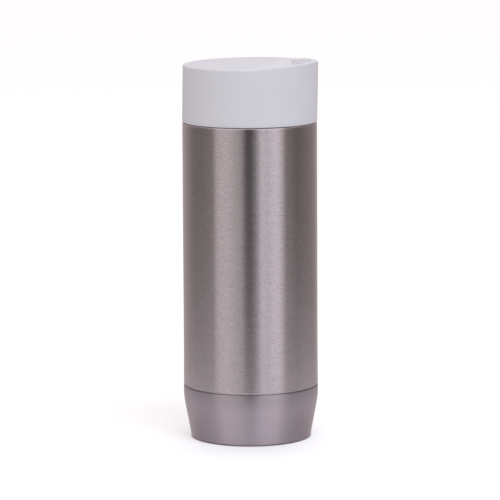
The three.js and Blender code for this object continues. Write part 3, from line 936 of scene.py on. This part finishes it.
def screw():
    """Pan-head screw with a hexagonal socket under its head."""
    profile = rounded([
        (0, SCREW_HEAD), (1.3, SCREW_HEAD), (3.2, SCREW_HEAD, 0.3), (3.8, SCREW_HEAD + 0.5, 0.3),
        (3.8, SCREW_SHOULDER), (1.9, SCREW_SHOULDER), (1.9, SCREW_TIP - 1.2), (0.6, SCREW_TIP),
        (0, SCREW_TIP),
    ])
    made = to_object("pivot_machine_screw", turned(profile, SMALL_ROUND))
    return carve(made, [("DIFFERENCE", block(circle(1.25, 181.0, 6), circle(1.25, 182.8, 6)))])


def plug():
    return turned(rounded([
        (0, 180.8), (6.7, 180.8, 0.5), (6.7, 183.5, 0.2), (5.2, 183.5, 0.2), (5.2, 181.6), (0, 181.6),
    ]), SMALL_ROUND)


def washer():
    return turned(rounded([
        (2.3, 183.15, 0.1), (4.4, 183.15, 0.1), (4.4, 183.65, 0.1), (2.3, 183.65, 0.1),
    ]), SMALL_ROUND)


def build_lid():
    parts = [
        (lid_cap(), "cap", "lid_cap", "white_plastic"),
        (valve_plate(), "cap", "valve_disc", "natural_plastic"),
        (collar(), "collar", "lid_collar", "grey_plastic"),
        (port_seal(), "collar", "port_seal", "silicone"),
        (to_object("deck_gasket", gasket()), "lid_lift", "lid_gasket", "silicone"),
        (to_object("cap_seal_ring", o_ring()), "lid_rise", "cap_o_ring", "silicone"),
        (screw(), "cap", "pivot_screw", "screw_steel"),
        (to_object("screw_washer", washer()), "cap", "spring_washer", "screw_steel"),
        (to_object("well_plug", plug()), "collar", "screw_plug", "silicone"),
    ]
    for obj, body, node, slot in parts:
        finish_piece(obj, body, node, slot)


def paint_kept_nodes():
    """The pieces sealed in the vacuum and the base keep their CAD shapes and get their finishes."""
    finishes = {row["node"]: row["material_slot"] for row in frame["record"]["subparts"]}
    for name, obj in frame["nodes"].items():
        obj.data.materials.clear()
        obj.data.materials.append(MATERIALS[finishes[name]])


# ---------------------------------------------------------------- studio, in metres

CAMERA_AZIMUTH = math.radians(0.0)
CAMERA_DISTANCE, CAMERA_HEIGHT = 1.71273, 0.3505
CAMERA_PITCH, CAMERA_ROLL = math.radians(8.359), math.radians(-0.281)
CAMERA_LENS, CAMERA_SENSOR, CAMERA_SHIFT = 237.15, 36.0, -0.0005
TO_CAMERA = Vector((math.sin(CAMERA_AZIMUTH), -math.cos(CAMERA_AZIMUTH), 0))
TO_RIGHT = Vector((math.cos(CAMERA_AZIMUTH), math.sin(CAMERA_AZIMUTH), 0))


def make_camera():
    data = bpy.data.cameras.new("camera")
    data.lens = CAMERA_LENS
    data.sensor_width = CAMERA_SENSOR
    data.shift_x = CAMERA_SHIFT
    data.clip_start = 0.05
    data.clip_end = 50
    camera = bpy.data.objects.new("camera", data)
    camera.location = TO_CAMERA * CAMERA_DISTANCE + Vector((0, 0, CAMERA_HEIGHT))
    turn = Matrix.Rotation(CAMERA_AZIMUTH, 3, "Z") @ Matrix.Rotation(math.pi / 2 - CAMERA_PITCH, 3, "X")
    camera.rotation_euler = (turn @ Matrix.Rotation(CAMERA_ROLL, 3, "Z")).to_euler()
    bpy.context.scene.collection.objects.link(camera)
    bpy.context.scene.camera = camera


# The studio's walls: azimuth in degrees to the right of the camera, brightness and tint. There are two soft
# boxes with a dark gap between them behind the camera, dark sides, and a mid-grey wall behind the mug.
BEHIND = (1.0, 0.885, 0.865)
SIDE = (1.0, 0.905, 0.865)
LEFT_BOX = (1.0, 0.97, 0.95)
RIGHT_BOX = (1.0, 0.99, 1.03)
WALLS = [
    (-180, 0.57, BEHIND), (-165, 0.51, BEHIND), (-135, 0.38, BEHIND), (-112, 0.23, SIDE), (-90, 0.21, SIDE),
    (-74, 0.25, SIDE), (-67, 0.26, SIDE), (-60, 0.58, LEFT_BOX), (-54, 0.66, LEFT_BOX), (-40, 0.68, LEFT_BOX),
    (-27, 0.54, LEFT_BOX), (-16, 0.43, LEFT_BOX), (-6, 0.05, SIDE), (2, 0.05, SIDE), (10, 0.25, RIGHT_BOX),
    (20, 0.80, RIGHT_BOX), (30, 0.71, RIGHT_BOX), (42, 0.88, RIGHT_BOX), (50, 0.88, RIGHT_BOX),
    (57, 0.64, LEFT_BOX), (64, 0.26, SIDE), (75, 0.21, SIDE), (88, 0.15, SIDE), (102, 0.20, SIDE),
    (120, 0.26, SIDE), (143, 0.34, BEHIND), (165, 0.51, BEHIND), (180, 0.57, BEHIND),
]
CEILING_LEVEL = 0.92
FAR_CEILING = (1.0, 0.93, 0.92)
NEAR_CEILING = (0.99, 0.96, 0.95)
BACKDROP_LEVEL = 1.02


def wall_colours(nodes, direction):
    """The walls' colour in a direction."""
    azimuth = nodes.math("ARCTAN2", nodes.dot(direction, TO_RIGHT), nodes.dot(direction, TO_CAMERA))
    ramp = nodes.node("ShaderNodeValToRGB")
    elements = ramp.color_ramp.elements
    while len(elements) < len(WALLS):
        elements.new(0.5)
    for element, (angle, level, tint) in zip(elements, WALLS):
        element.position = (angle + 180) / 360
        element.color = (*(level * t for t in tint), 1)
    nodes.link(nodes.remap(azimuth, 0, 1, -math.pi, math.pi), ramp.inputs["Fac"])
    return ramp.outputs["Color"]


def make_world():
    """The room that lights the mug and shows in its steel. The camera itself sees a plain white backdrop."""
    world = bpy.data.worlds.new("studio")
    bpy.context.scene.world = world
    world.use_nodes = True
    nodes = Nodes(world.node_tree)
    direction = nodes.node("ShaderNodeTexCoord").outputs["Generated"]
    facing = nodes.remap(nodes.dot(direction, TO_CAMERA), 0, 1, -0.7, 0.5, smooth=True)
    raised = nodes.remap(nodes.dot(direction, (0, 0, 1)), 0, 1, 0.5, 0.78, smooth=True)
    ceilings = [(*(CEILING_LEVEL * c for c in colour), 1) for colour in (FAR_CEILING, NEAR_CEILING)]
    ceiling = nodes.mix_colours(facing, *ceilings)
    room = nodes.node("ShaderNodeBackground")
    nodes.link(nodes.mix_colours(raised, wall_colours(nodes, direction), ceiling), room.inputs["Color"])
    backdrop = nodes.node("ShaderNodeBackground")
    backdrop.inputs["Color"].default_value = (1, 1, 1, 1)
    backdrop.inputs["Strength"].default_value = BACKDROP_LEVEL
    seen = nodes.node("ShaderNodeLightPath").outputs["Is Camera Ray"]
    surface = nodes.mix_shaders(seen, room, backdrop)
    nodes.link(surface, nodes.node("ShaderNodeOutputWorld").inputs["Surface"])


LAMP_DISTANCE, LAMP_AIM = 2.0, Vector((0, 0, 0.19))


def lamp(name, azimuth, elevation, side, power, colour):
    """Soft square light aimed at the lid. The steel's reflections don't show it."""
    data = bpy.data.lights.new(name, "AREA")
    data.size = side
    data.energy = power
    data.color = colour
    made = bpy.data.objects.new(name, data)
    turn = CAMERA_AZIMUTH + math.radians(azimuth)
    rise = math.radians(elevation)
    level = math.cos(rise)
    towards = Vector((math.sin(turn) * level, -math.cos(turn) * level, math.sin(rise)))
    made.location = towards * LAMP_DISTANCE + LAMP_AIM
    made.rotation_euler = towards.to_track_quat("Z", "Y").to_euler()
    made.visible_glossy = False
    made.visible_camera = False
    bpy.context.scene.collection.objects.link(made)


# The table's looks change with the distance from the mug's axis, given in metres. A set of three values holds
# in front of the mug, at its sides and behind it.
COVERED = 0.0318  # what the foot hides
# Painted shadow: near the foot the glow is weaker in front, stretching the contact shadow forwards, and a
# little stronger at the sides and behind, which lightens the shadow there.
GLOW_AT_FOOT = (0.245, 0.38, 0.38)  # the glow brings the open table up to white for the camera
GLOW_FAR = 0.36
GLOW_CHANGES = (0.035, 0.085)
SHOWN_AT_FOOT = (0.84, 0.35, 0.05)  # share of the table in the steel's reflections; the rest is the walls
SHOWN_FAR = (0.68, 0.76, 0.05)
SHOWN_CHANGES = (0.035, 0.11)
SHOWN_FADES = (0.08, 0.50)
TABLE_COLOUR = (0.9, 0.9, 0.9, 1)
TABLE_RADIUS, TABLE_DROP = 9000, 0.02  # in millimetres; the drop keeps the table clear of the foot


def share_around(nodes, facing, shares):
    """A value that goes round the mug. facing is 1 straight in front of the mug and -1 straight behind it."""
    in_front, at_sides, behind = shares
    share = at_sides
    for side, level in ((1, in_front), (-1, behind)):
        cosine = nodes.math("MULTIPLY", facing, side, clamp=True)
        square = nodes.math("MULTIPLY", cosine, cosine)
        share = nodes.math("ADD", share, nodes.math("MULTIPLY", square, level - at_sides))
    return share


def floor_material():
    """White table top: it bounces light, shows a soft contact shadow that its glow partly paints, and mirrors
    only close to the mug.
    """
    material = bpy.data.materials.new("white_table")
    material.use_nodes = True
    nodes = Nodes(material.node_tree)
    path = nodes.node("ShaderNodeLightPath").outputs
    back = nodes.node("ShaderNodeNewGeometry").outputs["Backfacing"]
    place = nodes.node("ShaderNodeTexCoord").outputs["Object"]
    distance = nodes.distance_from_axis(place)
    facing = nodes.math("DIVIDE", nodes.dot(place, TO_CAMERA), distance)
    covered = nodes.math("LESS_THAN", distance, COVERED)
    seen = path["Is Camera Ray"]

    def between(at_foot, far, limits):
        """A value that goes smoothly from its level at the foot to its level far out."""
        return nodes.remap(distance, at_foot, far, *limits, smooth=True)

    shown_at_foot = share_around(nodes, facing, SHOWN_AT_FOOT)
    shown_far = share_around(nodes, facing, SHOWN_FAR)
    shown = nodes.product(between(1, 0, SHOWN_FADES), between(shown_at_foot, shown_far, SHOWN_CHANGES))
    not_reflected = nodes.product(path["Is Glossy Ray"], nodes.math("SUBTRACT", 1, shown))
    under_mug = nodes.product(covered, nodes.math("SUBTRACT", 1, seen))
    unseen = nodes.math("ADD", nodes.math("ADD", back, under_mug, clamp=True), not_reflected, clamp=True)

    diffuse = nodes.node("ShaderNodeBsdfDiffuse")
    diffuse.inputs["Color"].default_value = TABLE_COLOUR
    glow = nodes.node("ShaderNodeEmission")
    glow.inputs["Color"].default_value = (1, 1, 1, 1)
    open_table = nodes.product(seen, nodes.math("SUBTRACT", 1, covered))
    # Painted shadow: the glow dips close to the foot, most in front of the mug.
    glow_level = between(share_around(nodes, facing, GLOW_AT_FOOT), GLOW_FAR, GLOW_CHANGES)
    nodes.link(nodes.product(open_table, glow_level), glow.inputs["Strength"])
    lit = nodes.node("ShaderNodeAddShader")
    nodes.link(diffuse.outputs[0], lit.inputs[0])
    nodes.link(glow.outputs[0], lit.inputs[1])
    surface = nodes.mix_shaders(unseen, lit, nodes.node("ShaderNodeBsdfTransparent"))
    nodes.link(surface, nodes.node("ShaderNodeOutputMaterial").inputs["Surface"])
    return material


def make_floor():
    solid = Solid()
    solid.faces.append(solid.loop(circle(TABLE_RADIUS, -TABLE_DROP, SMALL_ROUND)))
    floor = to_object("table", solid)
    if floor.data.polygons[0].normal.z < 0:
        floor.data.flip_normals()
    floor.data.materials.append(floor_material())


# ---------------------------------------------------------------- scene


make_camera()
make_world()
make_floor()
lamp("front_softbox", 24, 60, 1.2, 10.0, (0.84, 0.91, 1.18))
build_flask()
build_lid()
paint_kept_nodes()
bpy.context.scene.view_settings.view_transform = "Standard"
